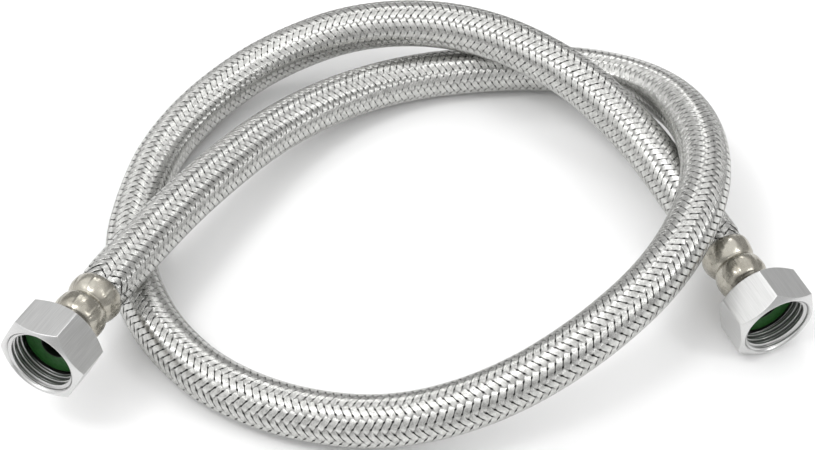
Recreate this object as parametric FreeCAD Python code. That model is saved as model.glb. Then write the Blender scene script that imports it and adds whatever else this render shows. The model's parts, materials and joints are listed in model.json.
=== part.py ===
import FreeCAD, Part
import math
import os

# Braided supply line: a rubber hose in a woven wire sleeve, with a crimped ferrule, a hose stem,
# a sealing washer and a hexagonal swivel nut at each end. Millimetres, +Z up, the lowest corner of
# nut B at Z = 0. The hose lies in one and a half loops and crosses over itself three times.

Vector = FreeCAD.Vector

# Route of the hose's centre line, from ferrule A to ferrule B.
ROUTE = [
    (-91.4, 2.7, 26.0),
    (-83.5, 19.4, 24.1),
    (-66.0, 50.0, 21.0),
    (-41.0, 86.0, 14.0),
    (-9.0, 109.5, 8.4),
    (27.0, 116.5, 7.75),
    (59.0, 114.0, 9.0),
    (80.0, 96.0, 17.0),
    (89.0, 68.0, 28.0),
    (88.0, 37.5, 32.3),
    (74.0, 8.0, 30.0),
    (50.0, -15.0, 25.0),
    (23.0, -29.0, 17.0),
    (-6.0, -34.0, 10.5),
    (-34.0, -29.0, 7.75),
    (-58.0, -18.0, 7.75),
    (-74.0, -2.0, 7.75),
    (-84.0, 16.0, 7.75),
    (-89.0, 35.0, 7.75),
    (-87.0, 56.0, 7.75),
    (-82.0, 78.0, 7.75),
    (-69.0, 99.0, 9.0),
    (-48.0, 117.0, 12.5),
    (-18.0, 125.0, 20.0),
    (17.0, 119.0, 24.9),
    (49.0, 99.5, 23.8),
    (72.0, 75.0, 16.5),
    (85.7, 45.2, 14.7),
    (92.9, 28.9, 14.37),
]
ARC_SHARE = 0.45            # part of the shorter run that each arc takes

# Hose layers
HOSE_START = 33.0           # depth behind the nut's mouth where the route starts
HOSE_OD = 15.4
BRAID_WALL = 0.5
LAYER_GAP = 0.05            # between the braid and the rubber, and between crimped layers
HOSE_BORE_R = 4.75
RUBBER_R = HOSE_OD / 2 - BRAID_WALL - LAYER_GAP
FLARE_LENGTH = 4.0          # over which the crimped end widens to the full hose

# Hexagonal nut, G 1/2 female thread
ACROSS_FLATS = 24.0
NUT_LENGTH = 13.4
NUT_FACE_R = 11.25          # circle where the corner chamfer meets the end face
CHAMFER_ANGLE = 33.0
THREAD_MAJOR_R = 20.955 / 2
THREAD_MINOR_R = 9.5
THREAD_PITCH = 1.814
THREAD_LANDS = 4
THREAD_ROOT_FLAT = 0.30
THREAD_HALF_ANGLE = 27.5
MOUTH_R = 11.05             # countersunk mouth
MOUTH_FLAT_END = 0.60       # depth where the first flank starts
UNDERCUT_R = 10.6
UNDERCUT_START = 7.6
UNDERCUT_END = 9.2
SEAT_R = 9.8                # flange's room, wider than the thread's crests
SEAT_END = 11.2
BACK_HOLE_R = 6.1
CUT_OVERRUN = 1.0           # how far the bore's cutter passes each face
NUT_ROLL_A = -33.2          # turn of the first corner from straight up, degrees
NUT_ROLL_B = 52.9

# Sealing washer
WASHER_R = 9.15
WASHER_BORE_R = 3.7
WASHER_FRONT = 7.4
WASHER_BACK = 9.3

# Stem: flange, neck, groove for the ferrule's lip, shoulder and barbed tail
FLANGE_R = 9.2
FLANGE_FRONT = 9.4
FLANGE_BACK = 11.0
NECK_R = 6.0
GROOVE_START = 16.2
GROOVE_R = 5.2
GROOVE_END = 17.4
SHOULDER_R = 5.9
SHOULDER_END = 18.2
TAIL_R = 4.3
BARB_R = 4.7
BARB_FIRST = 20.4
BARB_PITCH = 4.0
BARB_COUNT = 3
BARB_LENGTH = 3.0
STEM_BORE_R = 3.25

# Ferrule: two beads with a crimped waist between them
FERRULE_FRONT = 16.6
FERRULE_WALL = 0.6
LIP_R = 5.3
LIP_BACK = 17.2
LIP_EDGE_R = 6.2
BEADS = [
    ((17.2, 6.7), (21.2, 7.7), (25.1, 6.7)),
    ((25.1, 6.7), (28.8, 7.75), (31.9, 7.1)),
]

# Braid and rubber crimped inside the ferrule (outer face of the braid), before they widen
CRIMPED_BEADS = [
    ((19.0, 6.45), (21.2, 6.98), (25.1, 6.02)),
    ((25.1, 6.02), (28.8, 7.08), (31.9, 6.42)),
]
CRIMPED_BRAID_WALL = 0.55


def vec(point):
    return Vector(*point)


def profile_point(depth, radius):
    return Vector(-depth, 0, radius)


def revolve(wire):
    return Part.Face(wire).revolve(Vector(0, 0, 0), Vector(1, 0, 0), 360)


def turned(points):
    corners = [profile_point(*p) for p in points]
    return revolve(Part.makePolygon(corners + corners[:1]))


def bead_arcs(beads, inset):
    return [Part.Arc(*[profile_point(d, r - inset) for d, r in bead]).toShape() for bead in beads]


def lines(points):
    corners = [profile_point(*p) for p in points]
    return [Part.LineSegment(a, b).toShape() for a, b in zip(corners, corners[1:])]


def turned_edges(edges):
    return revolve(Part.Wire(Part.__sortEdges__(edges)))


def end_frame(end, inner):
    """Axis out of the nut's mouth and the mouth's centre, in line with the hose's end run."""
    axis = end.sub(inner).normalize()
    mouth = end.add(axis * HOSE_START)
    return axis, mouth


def place(shape, frame):
    axis, mouth = frame
    up = Vector(0, 0, 1)
    up = up.sub(axis * axis.dot(up)).normalize()
    shape.Placement = FreeCAD.Placement(mouth, FreeCAD.Rotation(axis, up.cross(axis), up, "XZY"))
    return shape


def chamfer_depth():
    corner = ACROSS_FLATS / math.sqrt(3)
    return (corner - NUT_FACE_R) * math.tan(math.radians(CHAMFER_ANGLE))


def hexagon(roll):
    corner = ACROSS_FLATS / math.sqrt(3)
    angles = [math.radians(roll + 60 * i) for i in range(7)]
    points = [Vector(0, corner * math.sin(a), corner * math.cos(a)) for a in angles]
    return Part.Face(Part.makePolygon(points)).extrude(Vector(-NUT_LENGTH, 0, 0))


def nut_envelope():
    corner = ACROSS_FLATS / math.sqrt(3)
    reach = chamfer_depth()
    return turned([
        (0, 0),
        (0, NUT_FACE_R),
        (reach, corner),
        (NUT_LENGTH - reach, corner),
        (NUT_LENGTH, NUT_FACE_R),
        (NUT_LENGTH, 0),
    ])


def thread_profile():
    """Ring grooves at the real pitch: root, flank, land, flank."""
    flank = (THREAD_MAJOR_R - THREAD_MINOR_R) * math.tan(math.radians(THREAD_HALF_ANGLE))
    land = THREAD_PITCH - 2 * flank - THREAD_ROOT_FLAT
    points = []
    depth = MOUTH_FLAT_END
    for _ in range(THREAD_LANDS):
        points.append((depth, THREAD_MAJOR_R))
        points.append((depth + flank, THREAD_MINOR_R))
        points.append((depth + flank + land, THREAD_MINOR_R))
        points.append((depth + 2 * flank + land, THREAD_MAJOR_R))
        depth += THREAD_PITCH
    return points


def nut_bore():
    mouth_chamfer = MOUTH_R - THREAD_MAJOR_R
    return turned(
        [
            (-CUT_OVERRUN, 0),
            (-CUT_OVERRUN, MOUTH_R),
            (0, MOUTH_R),
            (mouth_chamfer, THREAD_MAJOR_R),
        ]
        + thread_profile()
        + [
            (UNDERCUT_START, UNDERCUT_R),
            (UNDERCUT_END, UNDERCUT_R),
            (UNDERCUT_END, SEAT_R),
            (SEAT_END, SEAT_R),
            (SEAT_END, BACK_HOLE_R),
            (NUT_LENGTH + CUT_OVERRUN, BACK_HOLE_R),
            (NUT_LENGTH + CUT_OVERRUN, 0),
        ]
    )


def nut(roll):
    return hexagon(roll).common(nut_envelope()).cut(nut_bore())


def washer():
    return turned([
        (WASHER_FRONT, WASHER_BORE_R),
        (WASHER_FRONT, WASHER_R),
        (WASHER_BACK, WASHER_R),
        (WASHER_BACK, WASHER_BORE_R),
    ])


def barbs():
    points = []
    for i in range(BARB_COUNT):
        start = BARB_FIRST + i * BARB_PITCH
        points.append((start, TAIL_R))
        points.append((start, BARB_R))
        points.append((start + BARB_LENGTH, TAIL_R))
    return points


def stem():
    return turned(
        [
            (FLANGE_FRONT, STEM_BORE_R),
            (FLANGE_FRONT, FLANGE_R),
            (FLANGE_BACK, FLANGE_R),
            (FLANGE_BACK, NECK_R),
            (GROOVE_START, NECK_R),
            (GROOVE_START, GROOVE_R),
            (GROOVE_END, GROOVE_R),
            (GROOVE_END, SHOULDER_R),
            (SHOULDER_END, SHOULDER_R),
            (SHOULDER_END, TAIL_R),
        ]
        + barbs()
        + [(HOSE_START, TAIL_R), (HOSE_START, STEM_BORE_R)]
    )


def ferrule():
    first = BEADS[0][0]
    last = BEADS[1][2]
    front = lines([
        (first[0], first[1] - FERRULE_WALL),
        (LIP_BACK, LIP_R),
        (FERRULE_FRONT, LIP_R),
        (FERRULE_FRONT, LIP_EDGE_R),
        first,
    ])
    back = lines([last, (last[0], last[1] - FERRULE_WALL)])
    return turned_edges(front + bead_arcs(BEADS, 0) + back + bead_arcs(BEADS, FERRULE_WALL))


def crimped_braid():
    """The braid inside the ferrule, widening to the full sleeve behind it."""
    front = CRIMPED_BEADS[0][0]
    last = CRIMPED_BEADS[1][2]
    wall = CRIMPED_BRAID_WALL
    flare_end = HOSE_START + FLARE_LENGTH
    full_r = HOSE_OD / 2
    edges = lines([(front[0], front[1] - wall), front])
    edges += bead_arcs(CRIMPED_BEADS, 0)
    edges += lines([last, (flare_end, full_r), (flare_end, full_r - BRAID_WALL), (last[0], last[1] - wall)])
    edges += bead_arcs(CRIMPED_BEADS, wall)
    return turned_edges(edges)


def crimped_rubber():
    """The rubber hose between the braid and the stem's barbs."""
    inset = CRIMPED_BRAID_WALL + LAYER_GAP
    front = CRIMPED_BEADS[0][0]
    last = CRIMPED_BEADS[1][2]
    flare_end = HOSE_START + FLARE_LENGTH
    edges = lines([(front[0], HOSE_BORE_R), (front[0], front[1] - inset)])
    edges += bead_arcs(CRIMPED_BEADS, inset)
    edges += lines([
        (last[0], last[1] - inset),
        (flare_end, RUBBER_R),
        (flare_end, HOSE_BORE_R),
        (front[0], HOSE_BORE_R),
    ])
    return turned_edges(edges)


def arc_at(before, corner, after):
    """Start, middle and end of the tangent arc that rounds one corner of the route, and its radius."""
    back = before.sub(corner)
    ahead = after.sub(corner)
    reach = ARC_SHARE * min(back.Length, ahead.Length)
    half_turn = (math.pi - back.getAngle(ahead)) / 2
    radius = reach / math.tan(half_turn)
    back = back.normalize()
    ahead = ahead.normalize()
    inward = back.add(ahead).normalize()
    middle = corner.add(inward * (radius / math.cos(half_turn) - radius))
    return corner.add(back * reach), middle, corner.add(ahead * reach), radius


def hose_path():
    """Straight runs joined by tangent arcs, between the two flares."""
    points = [vec(p) for p in ROUTE]
    first_run = points[1].sub(points[0]).normalize()
    last_run = points[-2].sub(points[-1]).normalize()
    here = points[0].add(first_run * FLARE_LENGTH)
    edges = []
    radii = []
    for before, corner, after in zip(points, points[1:], points[2:]):
        start, middle, end, radius = arc_at(before, corner, after)
        edges.append(Part.LineSegment(here, start).toShape())
        edges.append(Part.Arc(start, middle, end).toShape())
        radii.append(radius)
        here = end
    edges.append(Part.LineSegment(here, points[-1].add(last_run * FLARE_LENGTH)).toShape())
    return Part.Wire(edges), radii


def tube(path, outer_r, inner_r):
    start = path.Edges[0].Vertexes[0].Point
    along = path.Edges[0].Vertexes[1].Point.sub(start)
    outer, inner = [Part.Face(Part.Wire(Part.makeCircle(r, start, along))) for r in (outer_r, inner_r)]
    return path.makePipe(outer.cut(inner).Faces[0])


def report_tube(name, shape, path, outer_r, inner_r):
    expected = math.pi * (outer_r ** 2 - inner_r ** 2) * path.Length
    print(name, "volume", round(shape.Volume, 1), "section x length", round(expected, 1))


def hose_layer(name, path, outer_r, inner_r, ends):
    middle = tube(path, outer_r, inner_r)
    report_tube(name, middle, path, outer_r, inner_r)
    return middle.fuse(ends)


def save(name, shape):
    solids = shape.Solids
    if len(solids) != 1 or not solids[0].isValid():
        raise ValueError(name + " is not one valid solid")
    solids[0].exportStep("parts/" + name + ".step")
    print(name, "volume", round(solids[0].Volume, 1))


def main():
    os.makedirs("parts", exist_ok=True)
    points = [vec(p) for p in ROUTE]
    frame_a = end_frame(points[0], points[1])
    frame_b = end_frame(points[-1], points[-2])
    for letter, frame, roll in (("a", frame_a, NUT_ROLL_A), ("b", frame_b, NUT_ROLL_B)):
        save("swivel_nut_" + letter, place(nut(roll), frame))
        save("washer_" + letter, place(washer(), frame))
        save("stem_" + letter, place(stem(), frame))
        save("ferrule_" + letter, place(ferrule(), frame))
    path, radii = hose_path()
    print("arc radii", [round(r, 1) for r in radii], "smallest", round(min(radii), 1))
    print("hose length between ferrules", round(path.Length + 2 * FLARE_LENGTH, 1))
    braid_ends = [place(crimped_braid(), frame) for frame in (frame_a, frame_b)]
    rubber_ends = [place(crimped_rubber(), frame) for frame in (frame_a, frame_b)]
    braid_inner_r = HOSE_OD / 2 - BRAID_WALL
    save("braid_sleeve", hose_layer("braid tube", path, HOSE_OD / 2, braid_inner_r, braid_ends))
    save("inner_hose", hose_layer("rubber tube", path, RUBBER_R, HOSE_BORE_R, rubber_ends))


main()
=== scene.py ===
import json
import math

import bpy
import numpy as np
from mathutils import Matrix, Vector


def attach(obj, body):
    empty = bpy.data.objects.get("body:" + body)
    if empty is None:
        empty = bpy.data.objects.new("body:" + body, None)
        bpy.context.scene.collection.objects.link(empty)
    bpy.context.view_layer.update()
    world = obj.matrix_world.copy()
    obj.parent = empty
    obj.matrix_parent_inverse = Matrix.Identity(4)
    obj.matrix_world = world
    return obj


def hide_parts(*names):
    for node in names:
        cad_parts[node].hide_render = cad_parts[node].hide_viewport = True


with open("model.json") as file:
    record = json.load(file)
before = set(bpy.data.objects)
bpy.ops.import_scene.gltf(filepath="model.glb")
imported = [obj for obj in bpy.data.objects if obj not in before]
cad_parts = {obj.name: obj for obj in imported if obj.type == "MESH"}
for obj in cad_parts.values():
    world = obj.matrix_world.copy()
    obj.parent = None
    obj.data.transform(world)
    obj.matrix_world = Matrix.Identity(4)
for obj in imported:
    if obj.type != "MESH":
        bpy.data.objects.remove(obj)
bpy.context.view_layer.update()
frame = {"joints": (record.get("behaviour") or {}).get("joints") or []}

MM = 0.001

# Route of the hose's centre line from ferrule A to ferrule B: the spline's control points, in metres
ROUTE = [
    (-0.0914, 0.0027, 0.0260),
    (-0.0835, 0.0194, 0.0241),
    (-0.0660, 0.0500, 0.0210),
    (-0.0410, 0.0860, 0.0140),
    (-0.0090, 0.1095, 0.0084),
    (0.0270, 0.1165, 0.00775),
    (0.0590, 0.1140, 0.0090),
    (0.0800, 0.0960, 0.0170),
    (0.0890, 0.0680, 0.0280),
    (0.0880, 0.0375, 0.0323),
    (0.0740, 0.0080, 0.0300),
    (0.0500, -0.0150, 0.0250),
    (0.0230, -0.0290, 0.0170),
    (-0.0060, -0.0340, 0.0105),
    (-0.0340, -0.0290, 0.00775),
    (-0.0580, -0.0180, 0.00775),
    (-0.0740, -0.0020, 0.00775),
    (-0.0840, 0.0160, 0.00775),
    (-0.0890, 0.0350, 0.00775),
    (-0.0870, 0.0560, 0.00775),
    (-0.0820, 0.0780, 0.00775),
    (-0.0690, 0.0990, 0.0090),
    (-0.0480, 0.1170, 0.0125),
    (-0.0180, 0.1250, 0.0200),
    (0.0170, 0.1190, 0.0249),
    (0.0490, 0.0995, 0.0238),
    (0.0720, 0.0750, 0.0165),
    (0.0857, 0.0452, 0.0147),
    (0.0929, 0.0289, 0.01437),
]
ROUTE_RESOLUTION = 128       # points read back per control point
HOSE_R = 7.7 * MM

# Camera, at the angle the object is seen from
CAMERA_DISTANCE = 0.599
CAMERA_PITCH = math.radians(48.0)
CAMERA_AIM = Vector((-0.0026, 0.05154, 0.0))
CAMERA_LENS = 83.2
SENSOR_WIDTH = 36.0

# Soft light from above and from the left: its direction, the cosines of the angles from it at which
# the light starts and is full, and the light outside and inside
SOFT_BOXES = (
    ((0.0, 0.0, 1.0), (0.52, 0.78), (0.50, 1.20)),
    ((-0.89, -0.10, 0.45), (0.60, 0.85), (0.0, 0.55)),
)

# Lamps: name, place, power in watts
LAMPS = (
    ("key", (-0.5, -0.2, 1.1), 2.4),
    ("fill", (0.8, -0.4, 0.8), 1.9),
    ("back", (0.1, 0.9, 0.9), 1.2),
)
LAMP_SIZE = 0.30
LAMP_AIM = Vector((0.0, 0.04, 0.0))
FLOOR_SIZE = 6.0

RANDOM_PHASE = (0.0, 6.28)   # range of a random phase, in radians

# Braid: 24 flat ribbons of wires, half wound each way, two over and two under
CARRIERS = 24
BRAID_PITCH = 29.7 * MM
CROSSING = BRAID_PITCH / CARRIERS            # along the hose, from one crossing to the next
RING_STEP = CROSSING / 4                     # four rings to a crossing
BRAID_SEED = 7
RIBBON_WIDTH = 1.92 * MM
RIBBON_DEPTH = 0.03 * MM     # from the sleeve's outer radius down to the top wires
WIRES = 7
WIRE_R = 0.12 * MM
# Section over one wire: share of its width, and height in wire radii
WIRE_TOP = ((0.0, 0.15), (0.28, 0.9), (0.72, 0.9))
RIBBON_EDGE_UP = -0.3        # height of the ribbon's edges and of its flat back, in wire radii
RIBBON_BACK_UP = -0.8
RIBBON_SAG = 0.29            # share of the hose's curvature that a ribbon follows across its width
WEAVE_LIFT = 0.15 * MM
LIFT_SHARPNESS = 2.6         # how quickly a ribbon passes from over to under
WAVE_LENGTHS = (0.013, 0.0047, 0.0021)       # slow unevenness of the weave, in metres to a radian
WAVE_HEIGHT = 0.012 * MM
WAVE_TURN = 0.006            # the same waves sideways, in radians round the hose
WAVE_LAG = 37                # rings by which they lag sideways
EDGE_NOTCH = 0.23            # the edges draw in by this share of the width at the dark holes
EDGE_FULL = 1.04             # the ribbon's width between those notches
HOLE_OFFSET = 0.25           # how far a notch lies from a crossing, as a share of a crossing
TOP_FROM = -0.9              # lift at which a ribbon begins to come out of its painted shade
TOP_REACH = 1.5              # and over how much more lift it does
EDGE_PAINTED_LIGHT = 0.65          # painted light level of a ribbon's outer edges and back, a painted shade beside the gaps
EDGE_FROM = 0.49             # where the outer edges begin, as a share of the width
CORE_DEPTH = 4.4             # from the sleeve's outer radius down to the rubber, in wire radii
CORE_SIDES = 32
NECK_R = 6.92 * MM           # the braid's outer radius where it enters a ferrule
NECK_LENGTH = 5.0 * MM       # over which the braid widens to its full radius
LIP_GAP = 1.1 * MM           # from the ferrule's lip to the route's first point
INSIDE_FERRULE = 3.6 * MM    # how far the braid goes on past the route's ends

# Fittings, in millimetres: depths are measured back from the nut's mouth, radii from its axis
NUT_ROLL = {"a": -33.2, "b": 52.9}           # turn of each hexagon, in degrees
ACROSS_FLATS = 24.0
APOTHEM = ACROSS_FLATS / 2
NUT_LENGTH = 13.4
NUT_FACE_R = 11.25           # outer radius of the flat faces, where the chamfers begin
CHAMFER_SLOPE = math.tan(math.radians(33.0))
CORNER_ROUND = 0.3
CREASE_SOFT = 0.10           # reach of the soft edges beside a chamfer, and the most of its width
CREASE_SHARE = 0.3
FLAT_POINTS = 25             # points across one flat
FLAT_ROWS = 6                # rows along the flats between the creases
MOUTH_R = 11.05              # outer radius of the countersink
COUNTERSINK_DEPTH = 0.50
MOUTH_EDGE = ((0.12, -0.13), (0.03, -0.02), (0.0, 0.05))   # depth, and radius beyond MOUTH_R
THREAD_MAJOR_R = 10.4775
THREAD_MINOR_R = 9.5
THREAD_PITCH = 1.814
THREAD_CREST_HALF = 0.20
THREAD_FLANK = 0.51
THREAD_FIRST_CREST = 1.357
FLANK_ROUND = 0.35           # share of the flank's rise that is rounded
THREAD_FADE = (0.7, 0.5)     # lengths over which it runs out, at the mouth and at the undercut
THREAD_RING_STEP = 0.065
UNDERCUT_START, UNDERCUT_END, UNDERCUT_R = 7.6, 9.2, 10.6
SEAT_DEPTH, SEAT_R = 11.2, 9.8
BACK_HOLE_R = 6.1
BACK_RING_R = 9.0            # a ring halfway out on the back face
BACK_EDGE = 0.15             # edge of the back hole, and the sag of its middle point
BACK_EDGE_SAG = 0.03
STEP_EDGE = 0.1              # edges inside the bore
STEP_EDGE_SMALL = 0.05

ROUND_SIDES = 96             # sides of the washers and the stems
SOFT_EDGE = 0.12             # reach of their edges' rounding, and the most of a side
SOFT_SHARE = 0.4
WASHER_FRONT, WASHER_BACK = 7.4, 9.3
WASHER_HOLE_R, WASHER_R = 3.7, 9.15
WASHER_SHADE_R = (3.95, 4.3, 8.6)            # rings on its face, where its painted shade begins and ends

STEM_BORE_R = 3.25
STEM_END = 33.0
# Flange, neck, groove for the ferrule's lip, and collar: start, end, radius
STEM_STEPS = ((9.4, 11.0, 9.2), (11.0, 16.2, 6.0), (16.2, 17.4, 5.2), (17.4, 18.2, 5.9))
TAIL_R = 4.3
BARB_R = 4.7
BARB_LENGTH = 3.0
BARB_STARTS = (20.4, 24.4, 28.4)

# Ferrules: two beads, each from one waist to the next: start, radius of its top, end, rings
FERRULE_BEADS = (
    ((17.1, 6.3), 7.75, (25.1, 6.2), 32),
    ((25.1, 6.2), 7.85, (31.9, 7.2), 34),
)
FERRULE_LIP = ((32.03, 7.12), (32.06, 7.04), (32.0, 6.96), (31.8, 6.95))
FERRULE_INSIDE = (
    (31.2, 7.15), (28.8, 7.25), (25.1, 5.95), (21.2, 7.1), (17.5, 6.0),
    (17.2, 5.35), (16.7, 5.3), (16.6, 5.4), (16.6, 5.9), (16.7, 6.1),
)
FERRULE_SIDES = 180
BEAD_SHAPE = (2.2, 0.7)      # exponents of a bead's section; 2 and 0.5 give an ellipse
FERRULE_SEED = {"a": 11, "b": 23}
JAW_MARKS = {"a": 1.7, "b": 0.8}             # strength of the crimping jaws' marks
JAWS = 8
JAW_RIDGE = 0.10             # height of the ridge that is left between two jaws
JAW_RIDGE_WIDTH = 0.05       # its width, as a share of a jaw
JAW_FLAT = 0.07              # depth of the flat that a jaw presses
JAW_WAIST = 0.02             # the jaws' trace all along, also in the waists
MARKS_FROM_R = 6.6           # the marks grow from this radius and are full over the next millimetre
DENT_WAVES = (2, 3, 5, 9, 14)                # dents: waves round the ferrule
DENT_SIZE = (0.015, 0.04)
DENT_SLANT = (-1.5, 1.5)     # their turn along the ferrule, in radians per millimetre


def make_camera():
    data = bpy.data.cameras.new("camera")
    camera = bpy.data.objects.new("camera", data)
    bpy.context.collection.objects.link(camera)
    back = Vector((0.0, -math.cos(CAMERA_PITCH), math.sin(CAMERA_PITCH)))
    camera.location = CAMERA_AIM + back * CAMERA_DISTANCE
    camera.rotation_euler = (math.pi / 2 - CAMERA_PITCH, 0.0, 0.0)
    data.lens = CAMERA_LENS
    data.sensor_width = SENSOR_WIDTH
    bpy.context.scene.camera = camera


def route_spline():
    """The route's NURBS spline, read back as a fine line of points."""
    data = bpy.data.curves.new("route", "CURVE")
    data.dimensions = "3D"
    data.resolution_u = ROUTE_RESOLUTION
    spline = data.splines.new("NURBS")
    spline.points.add(len(ROUTE) - 1)
    for point, place in zip(spline.points, ROUTE):
        point.co = (*place, 1.0)
    spline.order_u = 3
    spline.use_endpoint_u = True
    curve = bpy.data.objects.new("route", data)
    mesh = bpy.data.meshes.new_from_object(curve)
    line = np.empty(len(mesh.vertices) * 3)
    mesh.vertices.foreach_get("co", line)
    bpy.data.objects.remove(curve)
    bpy.data.meshes.remove(mesh)
    return line.reshape(-1, 3)


def unit(vectors):
    return vectors / np.linalg.norm(vectors, axis=-1, keepdims=True)


class Line:
    """Centre line that runs on past both ends, with even stations and a frame that doesn't twist."""

    def __init__(self, points, extend):
        head = unit(points[0] - points[1])
        tail = unit(points[-1] - points[-2])
        points = np.vstack([points[0] + head * extend, points, points[-1] + tail * extend])
        arc = np.concatenate([[0.0], np.cumsum(np.linalg.norm(np.diff(points, axis=0), axis=1))])
        self.length = arc[-1] - 2 * extend
        first = -int(extend / RING_STEP)
        last = int((arc[-1] - extend) / RING_STEP)
        self.s = RING_STEP * np.arange(first, last + 1)
        self.point = np.stack([np.interp(self.s + extend, arc, points[:, k]) for k in range(3)], 1)
        self.tangent = unit(np.gradient(self.point, axis=0))
        self.normal = np.empty_like(self.point)
        normal = np.cross(self.tangent[0], (0.0, 0.0, 1.0))
        for i, tangent in enumerate(self.tangent):
            normal = normal - tangent * normal.dot(tangent)
            normal = normal / np.linalg.norm(normal)
            self.normal[i] = normal
        self.side = np.cross(self.tangent, self.normal)


def grid_mesh(name, rings, close_rows=False):
    """Closed mesh from an (n, m, 3) array: n loops of m points, with the ends joined or capped."""
    n, m = rings.shape[:2]
    row = np.arange(n if close_rows else n - 1)[:, None]
    col = np.arange(m)[None, :]
    after_row = (row + 1) % n
    after_col = (col + 1) % m
    corners = (row * m + col, row * m + after_col, after_row * m + after_col, after_row * m + col)
    quads = np.stack(np.broadcast_arrays(*corners), -1).reshape(-1, 4)
    loops = quads.ravel()
    starts = np.arange(len(quads)) * 4
    if not close_rows:
        first = np.arange(m)[::-1]
        last = (n - 1) * m + np.arange(m)
        starts = np.concatenate([starts, [len(loops), len(loops) + m]])
        loops = np.concatenate([loops, first, last])
    mesh = bpy.data.meshes.new(name)
    mesh.vertices.add(n * m)
    mesh.vertices.foreach_set("co", rings.astype(np.float32).ravel())
    mesh.loops.add(len(loops))
    mesh.loops.foreach_set("vertex_index", loops.astype(np.int32))
    mesh.polygons.add(len(starts))
    mesh.polygons.foreach_set("loop_start", starts.astype(np.int32))
    mesh.polygons.foreach_set("use_smooth", np.ones(len(starts), dtype=bool))
    mesh.update(calc_edges=True)
    mesh.validate()
    obj = bpy.data.objects.new(name, mesh)
    bpy.context.collection.objects.link(obj)
    return obj


def store_painted_light(piece, painted_light):
    """Painted light level of each point, from 0 in full painted shade to 1 open to the light, for
    the materials that paint shade into hollows.
    """
    layer = piece.data.attributes.new("painted_light", "FLOAT", "POINT")
    layer.data.foreach_set("value", painted_light.astype(np.float32).ravel())


def smoothstep(x):
    x = np.clip(x, 0.0, 1.0)
    return x * x * (3 - 2 * x)


def fade(value, start, reach):
    """From 0 at the start to 1 past its reach."""
    return smoothstep((value - start) / reach)


def sleeve_radius(line):
    """Outer radius of the braid, drawn in where it enters each ferrule."""
    from_end = np.minimum(line.s, line.length - line.s) + LIP_GAP
    return NECK_R + (HOSE_R - NECK_R) * smoothstep(from_end / NECK_LENGTH)


def even_angles(count):
    return np.linspace(0.0, 2 * math.pi, count, endpoint=False)


def tube_rings(line, radius, sides):
    angle = even_angles(sides)[None, :, None]
    out = line.normal[:, None] * np.cos(angle) + line.side[:, None] * np.sin(angle)
    return line.point[:, None] + out * radius[:, None, None]


def strand_spacing(radius):
    """Distance across from one ribbon to the next of its own way, as a share of the turn."""
    return radius / np.hypot(1.0, 2 * math.pi * radius / BRAID_PITCH)


def ribbon_section():
    """Across one ribbon: a row of round wires on top, flat below. Pairs of (across, up)."""
    pitch = RIBBON_WIDTH / WIRES
    across = [(wire + share) * pitch for wire in range(WIRES) for share, _ in WIRE_TOP]
    up = [height for _, height in WIRE_TOP] * WIRES
    up[0] = RIBBON_EDGE_UP
    across += [RIBBON_WIDTH, RIBBON_WIDTH, 0.0]
    up += [RIBBON_EDGE_UP, RIBBON_BACK_UP, RIBBON_BACK_UP]
    return np.array(across) - RIBBON_WIDTH / 2, np.array(up) * WIRE_R


def ribbon_rings(line, index, way, rng):
    """One ribbon wound round the hose, over two and under two of those wound the other way."""
    per_turn = CARRIERS // 2
    angle = 2 * math.pi * (index / per_turn + way * line.s / BRAID_PITCH)
    step = line.s / CROSSING
    phase = (2 * index + step) if way > 0 else (2 * index - step + 2)
    weave = np.cos(math.pi / 2 * (phase - 0.5))
    lift = np.tanh(LIFT_SHARPNESS * weave) / math.tanh(LIFT_SHARPNESS)
    outer = sleeve_radius(line)
    waves = sum(np.sin(line.s / length + rng.uniform(*RANDOM_PHASE)) for length in WAVE_LENGTHS)
    waves = waves / len(WAVE_LENGTHS)
    radius = outer - 2 * WIRE_R - RIBBON_DEPTH + WEAVE_LIFT * lift + WAVE_HEIGHT * waves
    angle = angle + WAVE_TURN * np.roll(waves, WAVE_LAG)
    out = line.normal * np.cos(angle)[:, None] + line.side * np.sin(angle)[:, None]
    centre = line.point + out * radius[:, None]
    along = unit(np.gradient(centre, axis=0))
    across_dir = unit(np.cross(out, along))
    up_dir = np.cross(along, across_dir)
    across, up = ribbon_section()
    scale = strand_spacing(outer) / strand_spacing(HOSE_R)
    sag = (across ** 2) * RIBBON_SAG / (2 * HOSE_R)
    row = step[:, None] - way * HOLE_OFFSET * np.sign(across)[None, :]
    notch = EDGE_NOTCH * np.clip(np.cos(2 * math.pi * row), 0.0, None) ** 2
    width = across[None, :] * scale[:, None] * (EDGE_FULL - notch)
    rings = (
        centre[:, None]
        + across_dir[:, None] * width[..., None]
        + up_dir[:, None] * (up - sag)[None, :, None]
    )
    # painted shade: darker where the ribbon dives under the others, and on its edges and back beside
    # the gaps
    on_top = fade(lift, TOP_FROM, TOP_REACH)
    wire_tops = (np.abs(across) < EDGE_FROM * RIBBON_WIDTH) & (up > 0)
    return rings, on_top[:, None] * np.where(wire_tops, 1.0, EDGE_PAINTED_LIGHT)[None, :]


def make_hose():
    line = Line(route_spline(), INSIDE_FERRULE)
    radius = sleeve_radius(line) - CORE_DEPTH * WIRE_R - RIBBON_DEPTH
    core = grid_mesh("rubber_hose", tube_rings(line, radius, CORE_SIDES))
    core.data.materials.append(rubber_black())
    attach(core, "hose")
    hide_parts("inner_hose")
    rng = np.random.default_rng(BRAID_SEED)
    steel = braid_steel()
    for index in range(CARRIERS // 2):
        for way, word in ((1, "right"), (-1, "left")):
            # each ribbon carries painted shade where it dives under the others and on its edges
            rings, painted_light = ribbon_rings(line, index, way, rng)
            ribbon = grid_mesh(f"braid_{word}_{index + 1:02d}", rings)
            store_painted_light(ribbon, painted_light)
            ribbon.data.materials.append(steel)
            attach(ribbon, "hose")
            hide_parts("braid_sleeve")


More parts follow.
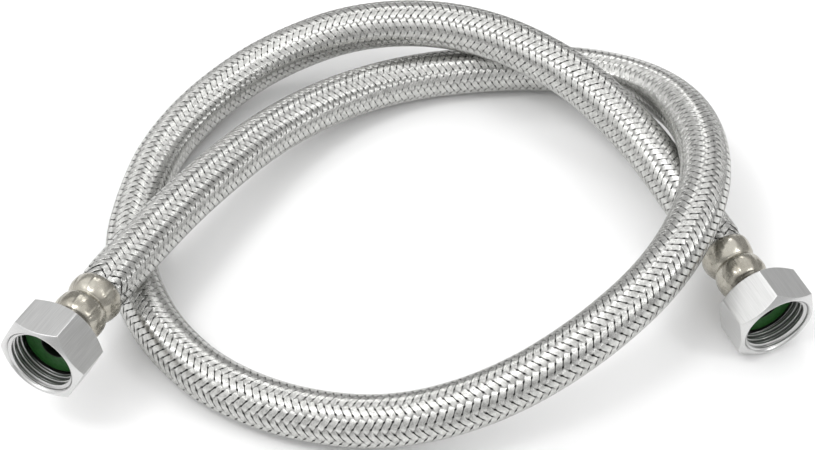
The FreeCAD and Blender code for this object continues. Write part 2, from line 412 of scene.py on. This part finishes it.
def map_range(tree, value, source, target, interpolation="LINEAR"):
    """Output of a new node that maps a value from the source range to the target range."""
    node = tree.nodes.new("ShaderNodeMapRange")
    node.interpolation_type = interpolation
    for key, number in zip(("From Min", "From Max", "To Min", "To Max"), (*source, *target)):
        node.inputs[key].default_value = number
    tree.links.new(value, node.inputs["Value"])
    return node.outputs["Result"]


class Material:
    """A Principled material. Even values are given at once, and the methods link uneven ones."""

    NOISE_RANGE = (0.3, 0.7)     # where nearly all of a noise's values lie

    def __init__(self, name, metallic, roughness=None, color=None):
        self.material = bpy.data.materials.new(name)
        self.material.use_nodes = True
        self.tree = self.material.node_tree
        self.shader = self.tree.nodes["Principled BSDF"]
        self.shader.inputs["Metallic"].default_value = metallic
        if roughness is not None:
            self.shader.inputs["Roughness"].default_value = roughness
        if color is not None:
            self.shader.inputs["Base Color"].default_value = (*color, 1.0)

    def node(self, kind, **values):
        """New node. Each value goes into the input of that name, or else is set on the node."""
        node = self.tree.nodes.new(kind)
        for key, value in values.items():
            if key in node.inputs:
                node.inputs[key].default_value = value
            else:
                setattr(node, key, value)
        return node

    def link(self, out, into):
        self.tree.links.new(out, into)

    def noise(self, scale, stretch=(1.0, 1.0, 1.0), detail=3.0):
        coords = self.node("ShaderNodeTexCoord")
        mapping = self.node("ShaderNodeMapping", Scale=stretch)
        self.link(coords.outputs["Object"], mapping.inputs["Vector"])
        noise = self.node("ShaderNodeTexNoise", Scale=scale, Detail=detail)
        self.link(mapping.outputs["Vector"], noise.inputs["Vector"])
        return noise.outputs["Fac"]

    def blend(self, value, dark, light):
        ramp = self.node("ShaderNodeValToRGB")
        for stop, position, color in zip(ramp.color_ramp.elements, self.NOISE_RANGE, (dark, light)):
            stop.position = position
            stop.color = (*color, 1.0)
        self.link(value, ramp.inputs["Fac"])
        self.link(ramp.outputs["Color"], self.shader.inputs["Base Color"])

    def paint_shade_in_hollows(self, darkest):
        """Painted shade: scale the colour by the piece's stored painted light level."""
        painted_light = self.node("ShaderNodeAttribute", attribute_name="painted_light")
        shade = map_range(self.tree, painted_light.outputs["Fac"], (0.0, 1.0), (darkest, 1.0))
        scaled = self.node("ShaderNodeVectorMath", operation="SCALE")
        base = self.shader.inputs["Base Color"]
        self.link(base.links[0].from_socket, scaled.inputs[0])
        self.link(shade, scaled.inputs["Scale"])
        self.link(scaled.outputs["Vector"], base)

    def roughness(self, value, low, high):
        rough = map_range(self.tree, value, self.NOISE_RANGE, (low, high))
        self.link(rough, self.shader.inputs["Roughness"])

    def bump(self, value, distance, strength):
        node = self.node("ShaderNodeBump", Strength=strength, Distance=distance)
        self.link(value, node.inputs["Height"])
        self.link(node.outputs["Normal"], self.shader.inputs["Normal"])


def braid_steel():
    """Bright wires, with painted shade on the parts that dive under the others and on the ribbons'
    edges.
    """
    m = Material("braid_steel", metallic=1.0, roughness=0.26)
    m.blend(m.noise(700.0), dark=(0.45, 0.45, 0.435), light=(0.70, 0.70, 0.68))
    # painted shade where the ribbons dive under the others and on their edges
    m.paint_shade_in_hollows(0.05)
    return m.material


def rubber_black():
    m = Material("rubber_black", metallic=0.0, roughness=0.7)
    m.blend(m.noise(300.0), dark=(0.012, 0.012, 0.012), light=(0.03, 0.03, 0.03))
    return m.material


def nickel_nut():
    """Satin plate, brushed along the nut."""
    m = Material("nut_satin_nickel", metallic=1.0)
    brushed = m.noise(3800.0, stretch=(0.03, 1.0, 1.0), detail=4.0)
    m.blend(brushed, dark=(0.58, 0.58, 0.575), light=(0.68, 0.68, 0.675))
    # painted shade in the thread's roots, the undercut and deeper in the bore
    m.paint_shade_in_hollows(0.20)
    m.roughness(brushed, low=0.28, high=0.36)
    m.bump(brushed, distance=0.00004, strength=0.22)
    return m.material


def ferrule_nickel():
    """Bright plate with a warm tint and a slightly uneven surface."""
    m = Material("ferrule_polished", metallic=1.0)
    m.blend(m.noise(200.0), dark=(0.33, 0.31, 0.265), light=(0.48, 0.46, 0.405))
    m.roughness(m.noise(700.0), low=0.20, high=0.34)
    m.bump(m.noise(300.0, detail=1.0), distance=0.0007, strength=0.5)
    return m.material


def stem_brass():
    """Turned brass, with its marks round the axis."""
    m = Material("stem_brass", metallic=1.0)
    m.blend(m.noise(200.0), dark=(0.30, 0.235, 0.14), light=(0.42, 0.34, 0.22))
    # painted shade: black in the bore and half dark outside
    m.paint_shade_in_hollows(0.03)
    m.roughness(m.noise(2500.0, stretch=(1.0, 0.05, 0.05)), low=0.22, high=0.38)
    return m.material


def washer_green():
    m = Material("washer_rubber", metallic=0.0)
    m.blend(m.noise(900.0), dark=(0.002, 0.056, 0.002), light=(0.005, 0.088, 0.006))
    # painted shade in the hole and at the rim
    m.paint_shade_in_hollows(0.05)
    m.roughness(m.noise(700.0), low=0.45, high=0.65)
    m.bump(m.noise(2400.0), distance=0.00004, strength=0.4)
    return m.material


def fitting_matrix(letter):
    """From a fitting's own axes, X out of the mouth and Z upwards, to the row's frame."""
    joint = next(j for j in frame["joints"] if j["name"] == f"nut_{letter}_swivel")
    axis = Vector(joint["axis"]).normalized()
    up = Vector((0.0, 0.0, 1.0))
    up = (up - axis * axis.dot(up)).normalized()
    turn = Matrix((axis, up.cross(axis), up)).transposed().to_4x4()
    return Matrix.Translation(joint["pos_m"]) @ turn


def nut_painted_light(depth, radius):
    """Painted shade: open outside and on the thread's crests, painted dark in its roots and the
    undercut and deeper in the bore.
    """
    root_shade, undercut_root = 0.32, 0.3
    bore_shade, deepest = 0.05, 9.0
    root = np.clip((radius - THREAD_MINOR_R) / (THREAD_MAJOR_R - THREAD_MINOR_R), 0.0, 1.0)
    root = np.where(radius > THREAD_MAJOR_R + 0.05, undercut_root, root)
    inside = (radius < MOUTH_R - 0.15) & (depth > COUNTERSINK_DEPTH - 0.05)
    shade = 1 - root_shade * root * fade(depth, 1.0, 0.8)
    return np.where(inside, shade * (1 - bore_shade * np.clip(depth, 0.0, deepest)), 1.0)


def washer_painted_light(depth, radius):
    """Painted shade: dark in the hole, and a little darker at the rim, which the nut's undercut
    shades.
    """
    rim_shade = 0.3
    return fade(radius, 3.8, 0.35) * (1 - rim_shade * fade(radius, 8.7, 0.4))


def stem_painted_light(depth, radius):
    """Painted shade: black in the bore, half in painted shade outside."""
    return np.where(radius < STEM_BORE_R + 0.35, 0.0, 0.5)


def turned(name, angle, rows, painted_shade=None):
    """Closed piece turned about X. Each row is (depth, radius), one value or one for each angle."""
    depth = np.array([np.broadcast_to(d, angle.shape) for d, _ in rows])
    radius = np.array([np.broadcast_to(r, angle.shape) for _, r in rows])
    rings = np.stack([-depth, radius * np.sin(angle), radius * np.cos(angle)], -1) * MM
    piece = grid_mesh(name, rings, close_rows=True)
    # painted shade stored on the points, for the material to darken its colour
    if painted_shade is not None:
        store_painted_light(piece, painted_shade(depth, radius))
    return piece


def softened(points, reach):
    """Corners of a closed profile cut back by a small two-step round."""
    corners = np.array(points)
    last_corners = np.roll(corners, 1, axis=0)
    next_corners = np.roll(corners, -1, axis=0)
    out = []
    for corner, last_one, next_one in zip(corners, last_corners, next_corners):
        ends = []
        for towards in (last_one - corner, next_one - corner):
            side = np.linalg.norm(towards)
            ends.append(corner + towards / side * min(reach, SOFT_SHARE * side))
        middle = (ends[0] + ends[1]) / 4 + corner / 2
        out += [tuple(ends[0]), tuple(middle), tuple(ends[1])]
    return out


def corner_reach():
    """Angle from a corner to where its rounding meets the flat."""
    half_flat = (APOTHEM - CORNER_ROUND) * math.tan(math.pi / 6)
    return math.pi / 6 - math.atan(half_flat / APOTHEM)


def nut_angles():
    """Angles round the nut from its first corner, closer together at the corners."""
    tangent = math.degrees(corner_reach())
    flat = np.linspace(tangent, 60.0 - tangent, FLAT_POINTS)
    side = np.concatenate([[0.0, tangent * 0.5], flat, [60.0 - tangent * 0.5]])
    return np.radians(np.concatenate([side + 60.0 * k for k in range(6)]))


def hexagon_radius(angle):
    """Radius of the hexagon, with rounded corners, at an angle from its first corner."""
    off_corner = (angle + math.pi / 6) % (math.pi / 3) - math.pi / 6
    off_flat = angle % (math.pi / 3) - math.pi / 6
    centre = (APOTHEM - CORNER_ROUND) / math.cos(math.pi / 6)
    reach = np.clip(CORNER_ROUND ** 2 - (centre * np.sin(off_corner)) ** 2, 0.0, None)
    corner = centre * np.cos(off_corner) + np.sqrt(reach)
    rounded = np.abs(off_corner) < corner_reach() + 1e-6
    return np.where(rounded, corner, APOTHEM / np.cos(off_flat))


def thread_radius(angle, depth):
    """Wall of the right-handed thread at an angle and a depth."""
    turn = (depth - THREAD_FIRST_CREST) / THREAD_PITCH - angle / (2 * math.pi)
    off_crest = np.abs(turn - np.round(turn)) * THREAD_PITCH
    up_flank = (THREAD_CREST_HALF + THREAD_FLANK - off_crest) / THREAD_FLANK
    rise = smoothstep(up_flank) * FLANK_ROUND + np.clip(up_flank, 0.0, 1.0) * (1 - FLANK_ROUND)
    rise = rise * fade(depth, COUNTERSINK_DEPTH, THREAD_FADE[0])
    rise = rise * smoothstep((UNDERCUT_START - STEP_EDGE - depth) / THREAD_FADE[1])
    return THREAD_MAJOR_R - (THREAD_MAJOR_R - THREAD_MINOR_R) * rise


def nut_outside(hexagon):
    """Rows from the mouth's face over the chamfer and the flats to the back face."""
    band = hexagon - NUT_FACE_R
    soft = np.minimum(CREASE_SOFT, CREASE_SHARE * band)
    crease = band * CHAMFER_SLOPE
    flat_start = crease + 2.2 * soft
    front = [
        # the flat face, and the soft edge where the chamfer begins
        (0.0, NUT_FACE_R - CREASE_SOFT),
        (0.0, NUT_FACE_R - 0.04),
        (0.015, NUT_FACE_R + 0.2 * soft),
        (soft * CHAMFER_SLOPE, NUT_FACE_R + soft),
        # down the chamfer
        (0.35 * crease, NUT_FACE_R + 0.35 * band),
        (0.65 * crease, NUT_FACE_R + 0.65 * band),
        ((band - soft) * CHAMFER_SLOPE, hexagon - soft),
        # round the crease to the flat
        (crease + 0.15 * soft, hexagon - 0.12 * soft),
        (crease + 0.9 * soft, hexagon),
        (flat_start, hexagon),
    ]
    share = np.linspace(0, 1, FLAT_ROWS + 2)[1:-1]
    middle = [(flat_start + (NUT_LENGTH - 2 * flat_start) * t, hexagon) for t in share]
    back = [(NUT_LENGTH - d, r) for d, r in reversed(front)]
    return front + middle + back


def nut_inside(angle):
    """Rows from the back face through the bore to the mouth, at angles in the fitting's axes."""
    bore = [
        (NUT_LENGTH, BACK_RING_R),
        (NUT_LENGTH, BACK_HOLE_R + BACK_EDGE),
        (NUT_LENGTH - BACK_EDGE_SAG, BACK_HOLE_R + BACK_EDGE_SAG),
        (NUT_LENGTH - BACK_EDGE, BACK_HOLE_R),
        (SEAT_DEPTH + STEP_EDGE, BACK_HOLE_R),
        (SEAT_DEPTH, BACK_HOLE_R + STEP_EDGE),
        (SEAT_DEPTH, SEAT_R - STEP_EDGE),
        (SEAT_DEPTH - STEP_EDGE, SEAT_R),
        (UNDERCUT_END + STEP_EDGE_SMALL, SEAT_R),
        (UNDERCUT_END, SEAT_R + STEP_EDGE_SMALL),
        (UNDERCUT_END, UNDERCUT_R - STEP_EDGE),
        (UNDERCUT_END - STEP_EDGE, UNDERCUT_R),
        (UNDERCUT_START + STEP_EDGE, UNDERCUT_R),
    ]
    depths = np.arange(UNDERCUT_START, COUNTERSINK_DEPTH, -THREAD_RING_STEP)
    thread = [(depth, thread_radius(angle, depth)) for depth in depths]
    mouth = [(COUNTERSINK_DEPTH, THREAD_MAJOR_R)]
    mouth += [(depth, MOUTH_R + beyond) for depth, beyond in MOUTH_EDGE]
    return bore + thread + mouth


def make_nut(letter):
    from_corner = nut_angles()
    angle = from_corner + math.radians(NUT_ROLL[letter])
    rows = nut_inside(angle) + nut_outside(hexagon_radius(from_corner))
    nut = turned(f"hex_nut_{letter}", angle, rows, nut_painted_light)
    put_in_place(nut, letter, f"nut_{letter}", f"swivel_nut_{letter}", nickel_nut())


def make_washer(letter):
    front = [(WASHER_FRONT, r) for r in (WASHER_HOLE_R, *WASHER_SHADE_R, WASHER_R)]
    back = [(WASHER_BACK, r) for r in (WASHER_R, WASHER_HOLE_R)]
    rows = softened(front + back, SOFT_EDGE)
    washer = turned(f"sealing_washer_{letter}", even_angles(ROUND_SIDES), rows, washer_painted_light)
    name = f"washer_{letter}"
    put_in_place(washer, letter, name, name, washer_green())


def make_stem(letter):
    profile = [(STEM_STEPS[0][0], STEM_BORE_R)]
    for start, end, radius in STEM_STEPS:
        profile += [(start, radius), (end, radius)]
    profile.append((STEM_STEPS[-1][1], TAIL_R))
    for start in BARB_STARTS:
        profile += [(start, TAIL_R), (start, BARB_R), (start + BARB_LENGTH, TAIL_R)]
    profile += [(STEM_END, TAIL_R), (STEM_END, STEM_BORE_R)]
    rows = softened(profile, SOFT_EDGE)
    stem = turned(f"hose_stem_{letter}", even_angles(ROUND_SIDES), rows, stem_painted_light)
    put_in_place(stem, letter, "hose", f"stem_{letter}", stem_brass())


def bead(start, peak, end, count):
    """Rounded bead between two waists: its rows' depths and radii, in millimetres."""
    inner, outer = BEAD_SHAPE
    t = np.linspace(0.0, 1.0, count)
    depth = start[0] + (end[0] - start[0]) * t
    base = start[1] + (end[1] - start[1]) * t
    rise = peak - (start[1] + end[1]) / 2
    return depth, base + rise * (1 - np.abs(2 * t - 1) ** inner) ** outer


def make_ferrule(letter):
    angle = even_angles(FERRULE_SIDES)
    rng = np.random.default_rng(FERRULE_SEED[letter])
    first, second = (bead(*shape) for shape in FERRULE_BEADS)
    depth = np.concatenate([first[0], second[0][1:]])
    radius = np.concatenate([first[1], second[1][1:]])
    jaw_phase = rng.uniform(*RANDOM_PHASE)
    off_jaw = ((angle - jaw_phase) * JAWS / (2 * math.pi) + 0.5) % 1.0 - 0.5
    ridge = JAW_RIDGE * np.exp(-((off_jaw / JAW_RIDGE_WIDTH) ** 2))
    ridge = JAW_MARKS[letter] * (ridge - JAW_FLAT * np.cos(2 * math.pi * off_jaw))
    dents = [
        (count, rng.uniform(*DENT_SIZE), rng.uniform(*DENT_SLANT), rng.uniform(*RANDOM_PHASE))
        for count in DENT_WAVES
    ]
    outside = []
    for d, r in zip(depth, radius):
        full = np.clip(r - MARKS_FROM_R, 0.0, 1.0)
        dented = sum(
            size * np.cos(count * angle + slant * d + phase) for count, size, slant, phase in dents
        )
        outside.append((d, r + (ridge + dented) * full + JAW_WAIST * np.cos(JAWS * angle)))
    rows = outside + [*FERRULE_LIP, *FERRULE_INSIDE]
    ferrule = turned(f"crimp_ferrule_{letter}", angle, rows)
    put_in_place(ferrule, letter, "hose", f"ferrule_{letter}", ferrule_nickel())


def put_in_place(piece, letter, body, node, material):
    piece.matrix_world = fitting_matrix(letter)
    piece.data.materials.append(material)
    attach(piece, body)
    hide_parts(node)


def make_floor():
    bpy.ops.mesh.primitive_plane_add(size=FLOOR_SIZE, location=(0, 0, 0))
    floor = bpy.context.object
    floor.name = "floor"
    white = Material("floor_white", metallic=0.0, roughness=0.9, color=(0.95, 0.95, 0.95))
    floor.data.materials.append(white.material)


def make_world():
    """White all round, brighter in each soft box."""
    world = bpy.data.worlds.new("studio")
    bpy.context.scene.world = world
    world.use_nodes = True
    tree = world.node_tree
    background = tree.nodes["Background"]
    background.inputs["Color"].default_value = (1.0, 1.0, 1.0, 1.0)
    coords = tree.nodes.new("ShaderNodeTexCoord")
    total = tree.nodes.new("ShaderNodeMath")
    total.operation = "ADD"
    for into, (direction, nearness, light) in zip(total.inputs, SOFT_BOXES):
        towards = tree.nodes.new("ShaderNodeVectorMath")
        towards.operation = "DOT_PRODUCT"
        towards.inputs[1].default_value = direction
        tree.links.new(coords.outputs["Generated"], towards.inputs[0])
        level = map_range(tree, towards.outputs["Value"], nearness, light, "SMOOTHSTEP")
        tree.links.new(level, into)
    tree.links.new(total.outputs["Value"], background.inputs["Strength"])


def make_lamps():
    for name, spot, power in LAMPS:
        data = bpy.data.lights.new(name, "AREA")
        data.size = LAMP_SIZE
        data.energy = power
        lamp = bpy.data.objects.new(name, data)
        bpy.context.collection.objects.link(lamp)
        lamp.location = spot
        lamp.rotation_euler = (LAMP_AIM - Vector(spot)).to_track_quat("-Z", "Y").to_euler()


make_camera()
make_hose()
for end in ("a", "b"):
    make_nut(end)
    make_washer(end)
    make_stem(end)
    make_ferrule(end)
make_floor()
make_world()
make_lamps()
bpy.context.scene.view_settings.view_transform = "Standard"
